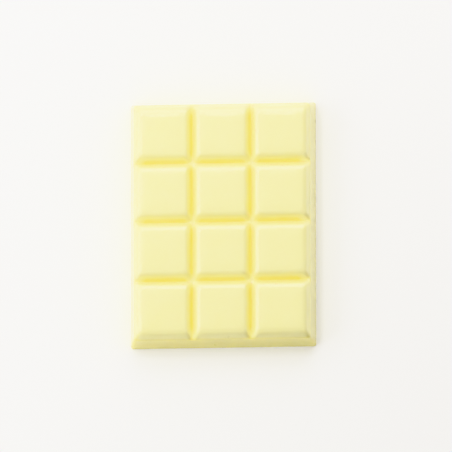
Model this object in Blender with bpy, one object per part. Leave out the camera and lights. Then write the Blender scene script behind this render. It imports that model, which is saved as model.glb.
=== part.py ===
"""A moulded white chocolate bar: three columns by four rows of plain pillow-shaped squares on one slab.

Metres, +Z up. X runs along the short side, Y along the long side, and the flat back lies on Z = 0 with
the origin at its centre. The bar is one solid, as it comes out of the mould.

Every square is a stack of closed rings, one for each height, from the bottom of its grooves up over the
shoulder to the crown. Neighbouring squares share the lowest ring along their grooves, so the twelve stacks
weld into one skin. The outer rim of that skin is carried down as the drafted side wall to the flat back.
"""

import math

import bmesh
import bpy

# Driving dimensions (metres, degrees)
COLUMNS = 3                 # squares along X
ROWS = 4                    # squares along Y
PITCH_X = 0.02045           # from groove to groove along X
PITCH_Y = 0.02080           # from groove to groove along Y
THICKNESS = 0.01050         # back to the highest point of a square
CROWN = 0.00010             # how much a square's top rises to its middle
GROOVE_DEPTH = 0.00290      # edge of a square's top to the bottom of the groove
GROOVE_ROOT_RADIUS = 0.00030
SLOPE_X = 60.0              # groove walls that face along X, from the horizontal
SLOPE_Y = 56.0              # groove walls that face along Y
SHOULDER_X = 0.0018         # shoulder radius above those walls
SHOULDER_Y = 0.0026
EDGE_SLOPE_X = 60.0         # the same for the walls on the outside of the bar
EDGE_SLOPE_Y = 54.0
EDGE_SHOULDER_X = 0.0024
EDGE_SHOULDER_Y = 0.0036
SIDE_FLARE = 0.00165        # how far the side wall leans out between the groove's bottom and the back
CORNER_TOP = 0.0014         # corner radius of a square, seen from above, at its top
CORNER_GROOVE = 0.0011      # the same at the bottom of the groove
CORNER_RIM = 0.0012         # corner radius of the whole bar at the height of the groove's bottom
CORNER_BACK = 0.0009        # corner radius of the whole bar at the back
BACK_RADIUS = 0.00025       # rounding between the side wall and the flat back

# How finely the curves are divided
SHOULDER_STEPS = 5
ROOT_STEPS = 2
CORNER_STEPS = 4            # even, so that a ring has a point on the diagonal
STRAIGHT_STEPS = 2
CROWN_STEPS = 2
SIDE_STEPS = 2
BACK_STEPS = 2

TOP_EDGE_Z = THICKNESS - CROWN
GROOVE_Z = TOP_EDGE_Z - GROOVE_DEPTH
HALF_X = COLUMNS * PITCH_X / 2
HALF_Y = ROWS * PITCH_Y / 2


def wall_inset(drop, radius, slope, root):
    """How far a wall stands in from the groove's middle line, at a drop below the edge of the top.

    From the bottom: a hollow root radius, a straight run at the slope, and the shoulder's arc.
    """
    t = math.radians(slope)
    foot = root * math.sin(t)
    foot_drop = GROOVE_DEPTH - root * (1 - math.cos(t))
    arc_drop = radius * (1 - math.cos(t))
    full = foot + (foot_drop - arc_drop) / math.tan(t) + radius * math.sin(t)
    if drop <= arc_drop:
        return full - math.sqrt(max(0.0, radius ** 2 - (radius - drop) ** 2))
    if drop <= foot_drop or root <= 0:
        return foot + (foot_drop - drop) / math.tan(t)
    rise = GROOVE_DEPTH - drop
    return math.sqrt(max(0.0, root ** 2 - (root - rise) ** 2))


def ring_drops():
    """The heights of the rings, as drops below the edge of a square's top, lowest first."""
    steepest = math.radians(max(SLOPE_X, SLOPE_Y))
    radius = max(SHOULDER_X, SHOULDER_Y)
    foot_drop = GROOVE_DEPTH - GROOVE_ROOT_RADIUS * (1 - math.cos(steepest))
    drops = [radius * (1 - math.cos(steepest * k / SHOULDER_STEPS)) for k in range(SHOULDER_STEPS + 1)]
    drops = [d for d in drops if d < foot_drop - 0.0001]
    drops += [
        GROOVE_DEPTH - GROOVE_ROOT_RADIUS * (1 - math.cos(steepest * k / ROOT_STEPS))
        for k in range(ROOT_STEPS, -1, -1)
    ]
    return sorted(drops, reverse=True)


def rounded_ring(left, right, front, back, radii, square):
    """A rounded rectangle, counter-clockwise from the corner (+X, +Y), as a list of (x, y).

    radii and square are given for the corners (+,+), (-,+), (-,-), (+,-). A square corner has the same
    number of points as a round one, so that the rings above it can be joined to it point by point.
    """
    corner_x = (right, left, left, right)
    corner_y = (back, back, front, front)
    sign_x = (1, -1, -1, 1)
    sign_y = (1, 1, -1, -1)
    turn = ((1, 0), (0, 1), (-1, 0), (0, -1))
    points = []
    for k in range(4):
        r = radii[k]
        ox, oy = corner_x[k] - sign_x[k] * r, corner_y[k] - sign_y[k] * r
        ca, sa = turn[k]
        for i in range(CORNER_STEPS + 1):
            a = math.pi / 2 * i / CORNER_STEPS
            if square[k]:
                ux, uy = (1.0, math.tan(a)) if a <= math.pi / 4 + 1e-9 else (math.tan(math.pi / 2 - a), 1.0)
            else:
                ux, uy = math.cos(a), math.sin(a)
            points.append((ox + r * (ux * ca - uy * sa), oy + r * (ux * sa + uy * ca)))
        n = (k + 1) % 4
        rn = radii[n]
        ca, sa = turn[n]
        start = (ox + r * ca, oy + r * sa)
        end = (corner_x[n] - sign_x[n] * rn + rn * ca, corner_y[n] - sign_y[n] * rn + rn * sa)
        for i in range(1, STRAIGHT_STEPS):
            f = i / STRAIGHT_STEPS
            points.append((start[0] + (end[0] - start[0]) * f, start[1] + (end[1] - start[1]) * f))
    return points


def square_rings(column, row):
    """The rings of one square, lowest first, each a list of (x, y, z), and its highest point."""
    cx = (column - (COLUMNS - 1) / 2) * PITCH_X
    cy = (row - (ROWS - 1) / 2) * PITCH_Y
    at_left, at_right = column == 0, column == COLUMNS - 1
    at_front, at_back = row == 0, row == ROWS - 1
    outer = (at_right and at_back, at_left and at_back, at_left and at_front, at_right and at_front)
    low = [CORNER_RIM if o else CORNER_GROOVE for o in outer]
    hx, hy = PITCH_X / 2, PITCH_Y / 2

    rings = [[(x, y, GROOVE_Z) for x, y in rounded_ring(-hx, hx, -hy, hy, low, [not o for o in outer])]]
    round_all = (False,) * 4
    for drop in ring_drops():
        groove_x = wall_inset(drop, SHOULDER_X, SLOPE_X, GROOVE_ROOT_RADIUS)
        groove_y = wall_inset(drop, SHOULDER_Y, SLOPE_Y, GROOVE_ROOT_RADIUS)
        edge_x = wall_inset(drop, EDGE_SHOULDER_X, EDGE_SLOPE_X, 0.0)
        edge_y = wall_inset(drop, EDGE_SHOULDER_Y, EDGE_SLOPE_Y, 0.0)
        left = -hx + (edge_x if at_left else groove_x)
        right = hx - (edge_x if at_right else groove_x)
        front = -hy + (edge_y if at_front else groove_y)
        back = hy - (edge_y if at_back else groove_y)
        f = 1 - drop / GROOVE_DEPTH
        radii = [r + (CORNER_TOP - r) * f for r in low]
        rings.append([(x, y, TOP_EDGE_Z - drop) for x, y in rounded_ring(left, right, front, back, radii, round_all)])
    mx, my = (left + right) / 2, (front + back) / 2
    for k in range(1, CROWN_STEPS + 1):
        f = 1 - 0.8 * k / CROWN_STEPS
        z = TOP_EDGE_Z + CROWN * (1 - f * f)
        ring = rounded_ring(
            mx + (left - mx) * f, mx + (right - mx) * f, my + (front - my) * f, my + (back - my) * f,
            [CORNER_TOP * f] * 4, round_all,
        )
        rings.append([(x, y, z) for x, y in ring])
    rings = [[(cx + x, cy + y, z) for x, y, z in ring] for ring in rings]
    return rings, (cx + mx, cy + my, THICKNESS)


def side_levels():
    """The side wall below the rim, as (how far out from the rim, height), down to the edge of the back."""
    lean = math.atan2(SIDE_FLARE, GROOVE_Z)
    foot = BACK_RADIUS * (1 + math.sin(lean))
    levels = []
    for k in range(1, SIDE_STEPS + 1):
        z = GROOVE_Z + (foot - GROOVE_Z) * k / SIDE_STEPS
        levels.append((math.tan(lean) * (GROOVE_Z - z), z))
    out, z = levels[-1]
    cx, cz = out - BACK_RADIUS * math.cos(lean), z - BACK_RADIUS * math.sin(lean)
    for k in range(1, BACK_STEPS + 1):
        a = lean - (lean + math.pi / 2) * k / BACK_STEPS
        levels.append((cx + BACK_RADIUS * math.cos(a), cz + BACK_RADIUS * math.sin(a)))
    return levels


def rim_point(point, out, z):
    """A point of the rim carried outwards and down to a height, with the corner closing to its back radius."""
    f = (GROOVE_Z - z) / GROOVE_Z
    r = CORNER_RIM + (CORNER_BACK - CORNER_RIM) * f
    ex, ey = HALF_X - CORNER_RIM, HALF_Y - CORNER_RIM
    fx, fy = HALF_X + out - r, HALF_Y + out - r
    x, y = point.x, point.y
    sx, sy = math.copysign(1, x), math.copysign(1, y)
    beyond_x, beyond_y = abs(x) > ex + 1e-7, abs(y) > ey + 1e-7
    if beyond_x and beyond_y:
        dx, dy = x - sx * ex, y - sy * ey
        d = math.hypot(dx, dy)
        return (sx * fx + dx / d * r, sy * fy + dy / d * r, z)
    if beyond_x:
        return (sx * (HALF_X + out), y * fy / ey, z)
    return (x * fx / ex, sy * (HALF_Y + out), z)


def join(bm, lower, upper):
    count = len(lower)
    for k in range(count):
        n = (k + 1) % count
        bm.faces.new((lower[k], lower[n], upper[n], upper[k]))


def rim_loop(bm):
    """The vertices of the skin's open edge, in order, counter-clockwise from above."""
    links = {}
    for edge in bm.edges:
        if edge.is_boundary:
            a, b = edge.verts
            links.setdefault(a, []).append(b)
            links.setdefault(b, []).append(a)
    bm.verts.index_update()
    start = min(links, key=lambda v: v.index)
    loop, previous, current = [start], None, start
    while True:
        following = next(v for v in links[current] if v is not previous)
        if following is start:
            break
        loop.append(following)
        previous, current = current, following
    area = sum(a.co.x * b.co.y - b.co.x * a.co.y for a, b in zip(loop, loop[1:] + loop[:1]))
    return loop if area > 0 else loop[::-1]


def build_bar():
    bm = bmesh.new()
    for column in range(COLUMNS):
        for row in range(ROWS):
            rings, peak = square_rings(column, row)
            loops = [[bm.verts.new(p) for p in ring] for ring in rings]
            for lower, upper in zip(loops, loops[1:]):
                join(bm, lower, upper)
            tip = bm.verts.new(peak)
            last = loops[-1]
            for k in range(len(last)):
                bm.faces.new((last[k], last[(k + 1) % len(last)], tip))
    # weld the squares along their grooves, and where a ring touches the one below it
    bmesh.ops.remove_doubles(bm, verts=bm.verts, dist=1e-6)
    bmesh.ops.dissolve_degenerate(bm, edges=bm.edges, dist=1e-6)

    previous = rim_loop(bm)
    rim = [v.co.copy() for v in previous]
    for out, z in side_levels():
        current = [bm.verts.new(rim_point(p, out, z)) for p in rim]
        join(bm, current, previous)
        previous = current
    bm.faces.new(previous[::-1])
    bmesh.ops.recalc_face_normals(bm, faces=bm.faces)

    mesh = bpy.data.meshes.new("chocolate_bar")
    bm.to_mesh(mesh)
    bm.free()
    mesh.shade_smooth()
    mesh.set_sharp_from_angle(angle=math.radians(50))
    return mesh


def chocolate_material():
    material = bpy.data.materials.new("white_chocolate")
    material.use_nodes = True
    shader = material.node_tree.nodes["Principled BSDF"]
    shader.inputs["Base Color"].default_value = (0.93, 0.87, 0.46, 1.0)
    shader.inputs["Roughness"].default_value = 0.32
    shader.inputs["Metallic"].default_value = 0.0
    return material


for old in list(bpy.data.objects):
    bpy.data.objects.remove(old)

bar = bpy.data.objects.new("chocolate_bar", build_bar())
bar.data.materials.append(chocolate_material())
bpy.context.scene.collection.objects.link(bar)
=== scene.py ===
"""The looks of the white chocolate bar: a finely meshed bar with the small unevenness of a real casting, its
material, a pale floor, soft studio light and the camera."""

import math

import bmesh
import bpy
from mathutils import Matrix, Vector, noise


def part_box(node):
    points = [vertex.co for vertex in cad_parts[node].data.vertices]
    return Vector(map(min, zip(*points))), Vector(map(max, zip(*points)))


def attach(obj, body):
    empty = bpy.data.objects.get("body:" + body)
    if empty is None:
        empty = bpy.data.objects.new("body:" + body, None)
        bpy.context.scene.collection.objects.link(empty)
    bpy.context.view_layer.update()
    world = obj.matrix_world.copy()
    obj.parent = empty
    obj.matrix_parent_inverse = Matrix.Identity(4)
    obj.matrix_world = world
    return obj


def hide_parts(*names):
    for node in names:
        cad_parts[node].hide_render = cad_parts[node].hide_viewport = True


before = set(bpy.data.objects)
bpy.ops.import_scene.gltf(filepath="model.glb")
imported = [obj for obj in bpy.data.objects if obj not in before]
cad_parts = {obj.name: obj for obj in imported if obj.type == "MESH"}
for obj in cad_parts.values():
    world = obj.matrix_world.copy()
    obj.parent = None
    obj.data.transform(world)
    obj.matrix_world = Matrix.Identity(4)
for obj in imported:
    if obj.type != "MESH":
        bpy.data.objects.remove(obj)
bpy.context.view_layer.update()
scene = bpy.context.scene

# ---------------------------------------------------------------- sizes (metres, degrees)
LOW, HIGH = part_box("chocolate_bar")
CENTRE = Vector(((LOW.x + HIGH.x) / 2, (LOW.y + HIGH.y) / 2, LOW.z))
COLUMNS, ROWS = 3, 4
FLARE = 0.00165
PITCH_X = (HIGH.x - LOW.x - 2 * FLARE) / COLUMNS
PITCH_Y = (HIGH.y - LOW.y - 2 * FLARE) / ROWS
THICKNESS = HIGH.z - LOW.z
CROWN = 0.00013
CROWN_POWER = 5       # the tops are nearly flat in the middle and turn down near their edges
CROWN_RINGS = (0.975, 0.945, 0.91, 0.87, 0.82, 0.75, 0.62, 0.42, 0.22, 0.07)
DEPTH = 0.0029
ROOT = 0.00034
SLOPE = {"x": 60.0, "y": 56.0, "edge_x": 60.0, "edge_y": 54.0}
SHOULDER = {"x": 0.0018, "y": 0.0026, "edge_x": 0.0024, "edge_y": 0.0036}
CORNER_TOP, CORNER_GROOVE, CORNER_RIM, CORNER_BACK = 0.0014, 0.0011, 0.0012, 0.0009
BACK_RADIUS = 0.00030

CORNER_STEPS, STRAIGHT_STEPS = 8, 12
SHOULDER_STEPS, WALL_STEPS, ROOT_STEPS, SIDE_STEPS, BACK_STEPS = 12, 2, 4, 10, 4

TOP_Z = THICKNESS - CROWN
GROOVE_Z = TOP_Z - DEPTH
HALF_X, HALF_Y = COLUMNS * PITCH_X / 2, ROWS * PITCH_Y / 2


def smooth(a, b, v):
    t = max(0.0, min(1.0, (v - a) / (b - a)))
    return t * t * (3 - 2 * t)


# ---------------------------------------------------------------- the bar's mesh
def wall_inset(drop, kind, root):
    """How far a wall stands in from the groove's middle line, at a drop below the edge of a square's top."""
    radius, t = SHOULDER[kind], math.radians(SLOPE[kind])
    foot, foot_drop = root * math.sin(t), DEPTH - root * (1 - math.cos(t))
    arc_drop = radius * (1 - math.cos(t))
    full = foot + (foot_drop - arc_drop) / math.tan(t) + radius * math.sin(t)
    if drop <= arc_drop:
        return full - math.sqrt(max(0.0, radius ** 2 - (radius - drop) ** 2))
    if drop <= foot_drop or root <= 0:
        return foot + (foot_drop - drop) / math.tan(t)
    rise = DEPTH - drop
    return math.sqrt(max(0.0, root ** 2 - (root - rise) ** 2))


def ring_drops():
    steepest = math.radians(max(SLOPE["x"], SLOPE["y"]))
    radius = max(SHOULDER["x"], SHOULDER["y"])
    foot_drop = DEPTH - ROOT * (1 - math.cos(steepest))
    drops = [radius * (1 - math.cos(steepest * k / SHOULDER_STEPS)) for k in range(SHOULDER_STEPS + 1)]
    drops = [d for d in drops if d < foot_drop - 0.00005]
    start = max(drops)
    drops += [start + (foot_drop - start) * k / WALL_STEPS for k in range(1, WALL_STEPS)]
    drops += [DEPTH - ROOT * (1 - math.cos(steepest * k / ROOT_STEPS)) for k in range(ROOT_STEPS, -1, -1)]
    return sorted(drops, reverse=True)


def rounded_ring(left, right, front, back, radii, square=(False,) * 4):
    corner_x, corner_y = (right, left, left, right), (back, back, front, front)
    sign_x, sign_y = (1, -1, -1, 1), (1, 1, -1, -1)
    turn = ((1, 0), (0, 1), (-1, 0), (0, -1))
    points = []
    for k in range(4):
        r = radii[k]
        ox, oy = corner_x[k] - sign_x[k] * r, corner_y[k] - sign_y[k] * r
        ca, sa = turn[k]
        for i in range(CORNER_STEPS + 1):
            a = math.pi / 2 * i / CORNER_STEPS
            if square[k]:
                ux, uy = (1.0, math.tan(a)) if a <= math.pi / 4 + 1e-9 else (math.tan(math.pi / 2 - a), 1.0)
            else:
                ux, uy = math.cos(a), math.sin(a)
            points.append((ox + r * (ux * ca - uy * sa), oy + r * (ux * sa + uy * ca)))
        n = (k + 1) % 4
        rn = radii[n]
        ca, sa = turn[n]
        start = (ox + r * ca, oy + r * sa)
        end = (corner_x[n] - sign_x[n] * rn + rn * ca, corner_y[n] - sign_y[n] * rn + rn * sa)
        for i in range(1, STRAIGHT_STEPS):
            f = i / STRAIGHT_STEPS
            points.append((start[0] + (end[0] - start[0]) * f, start[1] + (end[1] - start[1]) * f))
    return points


def square_rings(column, row):
    cx, cy = (column - (COLUMNS - 1) / 2) * PITCH_X, (row - (ROWS - 1) / 2) * PITCH_Y
    at_left, at_right, at_front, at_back = column == 0, column == COLUMNS - 1, row == 0, row == ROWS - 1
    outer = (at_right and at_back, at_left and at_back, at_left and at_front, at_right and at_front)
    low = [CORNER_RIM if o else CORNER_GROOVE for o in outer]
    hx, hy = PITCH_X / 2, PITCH_Y / 2
    rings = [[(x, y, GROOVE_Z) for x, y in rounded_ring(-hx, hx, -hy, hy, low, [not o for o in outer])]]
    for drop in ring_drops():
        groove_x, groove_y = wall_inset(drop, "x", ROOT), wall_inset(drop, "y", ROOT)
        edge_x, edge_y = wall_inset(drop, "edge_x", 0.0), wall_inset(drop, "edge_y", 0.0)
        left = -hx + (edge_x if at_left else groove_x)
        right = hx - (edge_x if at_right else groove_x)
        front = -hy + (edge_y if at_front else groove_y)
        back = hy - (edge_y if at_back else groove_y)
        f = 1 - drop / DEPTH
        radii = [r + (CORNER_TOP - r) * f for r in low]
        rings.append([(x, y, TOP_Z - drop) for x, y in rounded_ring(left, right, front, back, radii)])
    mx, my = (left + right) / 2, (front + back) / 2
    for f in CROWN_RINGS:
        r = min(CORNER_TOP * f + min(right - left, back - front) * 0.25 * f * (1 - f), 0.49 * f * min(right - left, back - front))
        ring = rounded_ring(mx + (left - mx) * f, mx + (right - mx) * f, my + (front - my) * f, my + (back - my) * f, [r] * 4)
        rings.append([(x, y, TOP_Z + CROWN * (1 - f ** CROWN_POWER)) for x, y in ring])
    rings = [[(cx + x, cy + y, z) for x, y, z in ring] for ring in rings]
    return rings, (cx + mx, cy + my, THICKNESS)


def side_levels():
    lean = math.atan2(FLARE, GROOVE_Z)
    foot = BACK_RADIUS * (1 + math.sin(lean))
    levels = []
    for k in range(1, SIDE_STEPS + 1):
        z = GROOVE_Z + (foot - GROOVE_Z) * k / SIDE_STEPS
        levels.append((math.tan(lean) * (GROOVE_Z - z), z))
    out, z = levels[-1]
    cx, cz = out - BACK_RADIUS * math.cos(lean), z - BACK_RADIUS * math.sin(lean)
    for k in range(1, BACK_STEPS + 1):
        a = lean - (lean + math.pi / 2) * k / BACK_STEPS
        levels.append((cx + BACK_RADIUS * math.cos(a), cz + BACK_RADIUS * math.sin(a)))
    return levels


def rim_point(point, out, z):
    f = (GROOVE_Z - z) / GROOVE_Z
    r = CORNER_RIM + (CORNER_BACK - CORNER_RIM) * f
    ex, ey = HALF_X - CORNER_RIM, HALF_Y - CORNER_RIM
    fx, fy = HALF_X + out - r, HALF_Y + out - r
    x, y = point.x, point.y
    sx, sy = math.copysign(1, x), math.copysign(1, y)
    beyond_x, beyond_y = abs(x) > ex + 1e-7, abs(y) > ey + 1e-7
    if beyond_x and beyond_y:
        dx, dy = x - sx * ex, y - sy * ey
        d = math.hypot(dx, dy)
        return (sx * fx + dx / d * r, sy * fy + dy / d * r, z)
    if beyond_x:
        return (sx * (HALF_X + out), y * fy / ey, z)
    return (x * fx / ex, sy * (HALF_Y + out), z)


def join(bm, lower, upper):
    for k in range(len(lower)):
        n = (k + 1) % len(lower)
        bm.faces.new((lower[k], lower[n], upper[n], upper[k]))


def rim_loop(bm):
    links = {}
    for edge in bm.edges:
        if edge.is_boundary:
            a, b = edge.verts
            links.setdefault(a, []).append(b)
            links.setdefault(b, []).append(a)
    bm.verts.index_update()
    start = min(links, key=lambda v: v.index)
    loop, previous, current = [start], None, start
    while True:
        following = next(v for v in links[current] if v is not previous)
        if following is start:
            break
        loop.append(following)
        previous, current = current, following
    area = sum(a.co.x * b.co.y - b.co.x * a.co.y for a, b in zip(loop, loop[1:] + loop[:1]))
    return loop if area > 0 else loop[::-1]


def uneven(co):
    """The small unevenness of a cast bar: each square stands a hair different, the top is faintly wavy, and the
    poured back's edge is not quite straight. All of it is under a tenth of a millimetre."""
    x, y, z = co
    up = smooth(GROOVE_Z, TOP_Z, z)
    column = max(0, min(COLUMNS - 1, int((x + HALF_X) / PITCH_X)))
    row = max(0, min(ROWS - 1, int((y + HALF_Y) / PITCH_Y)))
    cx, cy = (column - (COLUMNS - 1) / 2) * PITCH_X, (row - (ROWS - 1) / 2) * PITCH_Y
    seed = Vector((column * 7.31 + 0.5, row * 5.17 + 0.5, 2.7))
    n = noise.noise_vector(seed)
    dz = up * (-0.00004 + 0.00003 * n.z + (x - cx) * 0.0035 * n.x + (y - cy) * 0.0035 * n.y)
    wave = noise.noise(Vector((x, y, 0)) * 110.0)
    dz += up * 0.000025 * wave
    side = noise.noise_vector(Vector((x, y, z)) * 95.0 + Vector((3, 1, 7)))
    lift = smooth(0.0, 0.0012, z)
    dx, dy = 0.00004 * side.x * lift, 0.00004 * side.y * lift
    # the poured edge, only inwards, so that the outline stays in the mould's
    edge = 1 - smooth(0.0, 0.0014, z)
    pull = edge * 0.00007 * (0.5 + 0.5 * noise.noise(Vector((x, y, 4.0)) * 160.0))
    r = max(abs(x) / (HALF_X + FLARE), abs(y) / (HALF_Y + FLARE))
    if r > 0.9:
        if abs(x) / (HALF_X + FLARE) >= abs(y) / (HALF_Y + FLARE):
            dx -= math.copysign(pull, x)
        else:
            dy -= math.copysign(pull, y)
    return Vector((x + dx, y + dy, max(0.0, z + dz)))


def across(v, lines, wide, sign):
    """How near v is to the closest of the lines: 1 on it, 0 a width away. The widths differ on its two sides."""
    line = min(lines, key=lambda c: abs(v - c))
    d = (v - line) * sign + SHADE_SHIFT
    return 1 - smooth(0.0, wide[0] if d < 0 else wide[1], abs(d)), abs(v - line)


def groove_painted_shade(x, y, z):
    """Painted shade: 1 at the bottom of a groove, 0 on the tops and outer walls, less where grooves cross or run
    out. It reaches further up the shaded wall than up the lit one.
    """
    if z < GROOVE_Z - 1e-4:
        return 0.0
    shade_x, dx = across(x, [(k - COLUMNS / 2) * PITCH_X for k in range(1, COLUMNS)], SHADE_WIDTH_X, 1)
    shade_y, dy = across(y, [(k - ROWS / 2) * PITCH_Y for k in range(1, ROWS)], SHADE_WIDTH_Y, -1)
    rim = min(HALF_X - abs(x), HALF_Y - abs(y))
    return max(shade_x, shade_y) * smooth(0.0008, 0.0036, rim - 0.5 * min(dx, dy)) \
        * (1 - 0.5 * (1 - smooth(0.0005, 0.0032, max(dx, dy))))


def side_painted_shade(x, y, z):
    """Painted shade: a darker, deeper yellow low on the outer walls, faint all round, more on the right one and
    most of all on the near one, which face away from the lights.
    """
    down = smooth(-0.26, 0.12, 1 - z / GROOVE_Z)
    near = smooth(HALF_Y - 0.0014, HALF_Y - 0.0002, -y)
    right = smooth(HALF_X - 0.0014, HALF_X - 0.0002, x)
    outer = smooth(-0.0014, -0.0002, max(abs(x) - HALF_X, abs(y) - HALF_Y))
    return down * max(SIDE_SHADE_AMOUNT[0] * outer, SIDE_SHADE_AMOUNT[1] * right, SIDE_SHADE_AMOUNT[2] * near)


def build_bar():
    bm = bmesh.new()
    for column in range(COLUMNS):
        for row in range(ROWS):
            rings, peak = square_rings(column, row)
            loops = [[bm.verts.new(p) for p in ring] for ring in rings]
            for lower, upper in zip(loops, loops[1:]):
                join(bm, lower, upper)
            tip, last = bm.verts.new(peak), loops[-1]
            for k in range(len(last)):
                bm.faces.new((last[k], last[(k + 1) % len(last)], tip))
    bmesh.ops.remove_doubles(bm, verts=bm.verts, dist=1e-6)
    bmesh.ops.dissolve_degenerate(bm, edges=bm.edges, dist=1e-6)
    previous = rim_loop(bm)
    rim = [v.co.copy() for v in previous]
    for out, z in side_levels():
        current = [bm.verts.new(rim_point(p, out, z)) for p in rim]
        join(bm, current, previous)
        previous = current
    outline = [v.co.copy() for v in previous]
    for f in (0.985, 0.95, 0.88, 0.76, 0.6, 0.42, 0.24, 0.1):
        current = [bm.verts.new((p.x * f, p.y * f, 0.0)) for p in outline]
        join(bm, current, previous)
        previous = current
    middle = bm.verts.new((0, 0, 0))
    for k in range(len(previous)):
        bm.faces.new((previous[(k + 1) % len(previous)], previous[k], middle))
    bmesh.ops.recalc_face_normals(bm, faces=bm.faces)
    # per-vertex amounts of painted shade: in the grooves, and low on the outer walls
    groove_shades, side_shades = [], []
    bm.verts.index_update()
    for v in bm.verts:
        groove_shades.append(groove_painted_shade(*v.co))
        side_shades.append(side_painted_shade(*v.co))
        v.co = uneven(v.co)
    mesh = bpy.data.meshes.new("white_chocolate_bar")
    bm.to_mesh(mesh)
    bm.free()
    mesh.shade_smooth()
    # the painted shade is stored in the attributes groove and side, which the material reads
    for name, values in (("groove", groove_shades), ("side", side_shades)):
        mesh.attributes.new(name, "FLOAT", "POINT").data.foreach_set("value", values)
    mesh.transform(Matrix.Translation(CENTRE))
    return mesh


# ---------------------------------------------------------------- materials
def node(tree, kind, **settings):
    n = tree.nodes.new(kind)
    for key, value in settings.items():
        if key in n.inputs:
            n.inputs[key].default_value = value
        else:
            setattr(n, key, value)
    return n


def chocolate_material():
    material = bpy.data.materials.new("white_chocolate")
    material.use_nodes = True
    tree = material.node_tree
    links = tree.links
    shader = tree.nodes["Principled BSDF"]
    coords = tree.nodes.new("ShaderNodeTexCoord")

    # colour: ivory, with painted shade down in the grooves as a deeper yellow, with faint milky mottling
    groove = node(tree, "ShaderNodeAttribute", attribute_name="groove")
    ramp = tree.nodes.new("ShaderNodeValToRGB")
    ramp.color_ramp.interpolation = "B_SPLINE"
    stops = ramp.color_ramp.elements
    stops[0].position, stops[0].color = 0.0, (*PALE, 1)
    stops[1].position, stops[1].color = 1.0, (*GROOVE_SHADE_COLOUR, 1)
    middle = stops.new(0.7)
    middle.color = (*[a + (b - a) * 0.35 for a, b in zip(PALE, GROOVE_SHADE_COLOUR)], 1)
    links.new(groove.outputs["Fac"], ramp.inputs["Fac"])
    mottle = node(tree, "ShaderNodeTexNoise", Scale=120.0, Detail=4.0, Roughness=0.55)
    links.new(coords.outputs["Object"], mottle.inputs["Vector"])
    amount = node(tree, "ShaderNodeMapRange")
    amount.inputs["From Min"].default_value, amount.inputs["From Max"].default_value = 0.3, 0.7
    amount.inputs["To Min"].default_value, amount.inputs["To Max"].default_value = 0.0, 0.10
    links.new(mottle.outputs["Fac"], amount.inputs["Value"])
    milky = node(tree, "ShaderNodeMix", data_type="RGBA")
    milky.inputs["B"].default_value = (0.95, 0.90, 0.62, 1)
    links.new(amount.outputs["Result"], milky.inputs["Factor"])
    links.new(ramp.outputs["Color"], milky.inputs["A"])
    # painted shade: a darker, deeper yellow mixed in low on the outer walls
    side = node(tree, "ShaderNodeAttribute", attribute_name="side")
    lower = node(tree, "ShaderNodeMix", data_type="RGBA")
    lower.inputs["B"].default_value = (*SIDE_SHADE_COLOUR, 1)
    links.new(side.outputs["Fac"], lower.inputs["Factor"])
    links.new(milky.outputs["Result"], lower.inputs["A"])
    links.new(lower.outputs["Result"], shader.inputs["Base Color"])

    # gloss: a little duller in places
    patch = node(tree, "ShaderNodeTexNoise", Scale=260.0, Detail=3.0, Roughness=0.6)
    links.new(coords.outputs["Object"], patch.inputs["Vector"])
    dull = node(tree, "ShaderNodeMapRange")
    dull.inputs["From Min"].default_value, dull.inputs["From Max"].default_value = 0.25, 0.75
    dull.inputs["To Min"].default_value, dull.inputs["To Max"].default_value = ROUGH
    links.new(patch.outputs["Fac"], dull.inputs["Value"])
    links.new(dull.outputs["Result"], shader.inputs["Roughness"])

    # relief too fine for the mesh: a faint waviness and the mould's fine texture
    wave = node(tree, "ShaderNodeTexNoise", Scale=420.0, Detail=2.0, Roughness=0.5)
    grain = node(tree, "ShaderNodeTexNoise", Scale=2600.0, Detail=3.0, Roughness=0.6)
    for n in (wave, grain):
        links.new(coords.outputs["Object"], n.inputs["Vector"])
    bump_wave = node(tree, "ShaderNodeBump", Strength=0.15, Distance=0.00008)
    bump_grain = node(tree, "ShaderNodeBump", Strength=0.08, Distance=0.00001)
    links.new(wave.outputs["Fac"], bump_wave.inputs["Height"])
    links.new(grain.outputs["Fac"], bump_grain.inputs["Height"])
    links.new(bump_wave.outputs["Normal"], bump_grain.inputs["Normal"])
    links.new(bump_grain.outputs["Normal"], shader.inputs["Normal"])

    shader.inputs["IOR"].default_value = 1.52
    shader.subsurface_method = SSS_METHOD
    shader.inputs["Subsurface Weight"].default_value = 1.0
    shader.inputs["Subsurface Radius"].default_value = SSS_RADIUS
    shader.inputs["Subsurface Scale"].default_value = SSS_SCALE
    shader.inputs["Coat Weight"].default_value = COAT[0]
    shader.inputs["Coat Roughness"].default_value = COAT[1]
    shader.inputs["Coat IOR"].default_value = 1.75
    return material


def floor_material():
    material = bpy.data.materials.new("pale_floor")
    material.use_nodes = True
    shader = material.node_tree.nodes["Principled BSDF"]
    shader.inputs["Base Color"].default_value = (*FLOOR, 1)
    shader.inputs["Roughness"].default_value = 0.85
    shader.inputs["Specular IOR Level"].default_value = 0.1
    shader.inputs["Emission Color"].default_value = (1, 1, 1, 1)
    shader.inputs["Emission Strength"].default_value = FLOOR_GLOW
    return material


PALE = (0.97, 0.93, 0.465)
# painted shade in the grooves: the deeper, darker yellow at a groove's bottom
GROOVE_SHADE_COLOUR = (0.93, 0.825, 0.125)
ROUGH = (0.27, 0.37)
# painted shade low on the outer walls: its colour, then its amount all round, on the right wall and on the near
# wall
SIDE_SHADE_COLOUR = (0.87, 0.78, 0.16)
SIDE_SHADE_AMOUNT = (0.10, 0.45, 0.95)
# painted groove shade: how far it reaches on the shaded and on the lit wall, and how far it is moved toward the
# shaded wall
SHADE_WIDTH_X, SHADE_WIDTH_Y = (0.0024, 0.0012), (0.0027, 0.0014)
SHADE_SHIFT = 0.00020
SSS_METHOD = "BURLEY"
SSS_RADIUS = (1.0, 0.85, 0.40)
SSS_SCALE = 0.0024
COAT = (1.0, 0.12)
FLOOR = (0.95, 0.95, 0.95)
FLOOR_GLOW = 0.12

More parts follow.
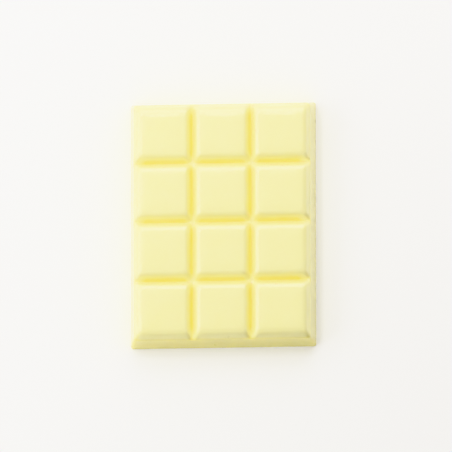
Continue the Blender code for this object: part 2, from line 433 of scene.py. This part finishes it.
bar = bpy.data.objects.new("white_chocolate_bar", build_bar())
scene.collection.objects.link(bar)
bar.data.materials.append(chocolate_material())
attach(bar, "root")
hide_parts("chocolate_bar")

# ---------------------------------------------------------------- floor, light
floor_mesh = bpy.data.meshes.new("floor")
bm = bmesh.new()
bmesh.ops.create_grid(bm, x_segments=1, y_segments=1, size=3.0)
bm.to_mesh(floor_mesh)
bm.free()
floor = bpy.data.objects.new("floor", floor_mesh)
floor.location = (CENTRE.x, CENTRE.y, LOW.z - 0.00005)
floor_mesh.materials.append(floor_material())
scene.collection.objects.link(floor)


def softbox(name, azimuth, elevation, distance, size, power, colour=(1, 1, 1)):
    """An area light that faces the bar. Azimuth counts counter-clockwise from +X."""
    data = bpy.data.lights.new(name, "AREA")
    data.shape, data.size, data.size_y = "RECTANGLE", size[0], size[1]
    data.energy, data.color = power, colour
    lamp = bpy.data.objects.new(name, data)
    az, el = math.radians(azimuth), math.radians(elevation)
    direction = Vector((math.cos(az) * math.cos(el), math.sin(az) * math.cos(el), math.sin(el)))
    lamp.location = CENTRE + direction * distance
    lamp.rotation_euler = (-direction).to_track_quat("-Z", "Y").to_euler()
    scene.collection.objects.link(lamp)
    return lamp


softbox("key", 100, 58, 0.45, (0.40, 0.40), 0.12)
softbox("far_strip", 92, 63, 0.50, (0.45, 0.07), 0.40)
softbox("left_strip", 168, 67, 0.50, (0.45, 0.04), 0.65)
softbox("far", 90, 40, 0.45, (0.6, 0.2), 1.18)
softbox("far_low", 90, 15, 0.45, (0.6, 0.2), 0.50)
softbox("left", 180, 36, 0.45, (0.6, 0.16), 1.15)
softbox("left_low", 180, 15, 0.45, (0.6, 0.2), 0.60)
softbox("right", 0, 40, 0.45, (0.6, 0.2), 0.20, (1.0, 0.90, 0.76))
softbox("near", 270, 40, 0.45, (0.6, 0.2), 0.08, (1.0, 0.90, 0.72))

world = bpy.data.worlds.new("studio")
scene.world = world
world.use_nodes = True
background = world.node_tree.nodes["Background"]
background.inputs["Color"].default_value = (1.0, 0.965, 0.89, 1)
background.inputs["Strength"].default_value = 0.26

scene.view_settings.view_transform = "Khronos PBR Neutral"
scene.view_settings.look = "None"
scene.view_settings.exposure = 0.0
scene.view_settings.gamma = 1.0

# ---------------------------------------------------------------- camera
# A long lens from above, tipped a little towards the near side and the right, so those side walls show.
METRES_PER_PIXEL = 0.0003465
FRAME_PIXELS = 452
LENS = 1500.0
TIP_X, TIP_Y, ROLL = 0.075, 0.20, -0.1
AIM = (223.55, 225.85)      # where the middle of the bar's back falls in the picture
view = Vector((TIP_X, -TIP_Y, 1.0)).normalized()
up = (Vector((0, 1, 0)) - view * view.y).normalized()
turn = Matrix((up.cross(view), up, view)).transposed().to_4x4() @ Matrix.Rotation(math.radians(ROLL), 4, "Z")
right, upward = turn.to_3x3() @ Vector((1, 0, 0)), turn.to_3x3() @ Vector((0, 1, 0))
distance = FRAME_PIXELS * METRES_PER_PIXEL * LENS / 36.0
camera = bpy.data.objects.new("camera", bpy.data.cameras.new("camera"))
camera.data.lens, camera.data.sensor_width = LENS, 36.0
camera.data.clip_start, camera.data.clip_end = 0.1, distance * 3
aim = CENTRE + right * ((226 - AIM[0]) * METRES_PER_PIXEL) - upward * ((226 - AIM[1]) * METRES_PER_PIXEL)
camera.matrix_world = Matrix.Translation(aim + view * distance) @ turn
scene.collection.objects.link(camera)
scene.camera = camera
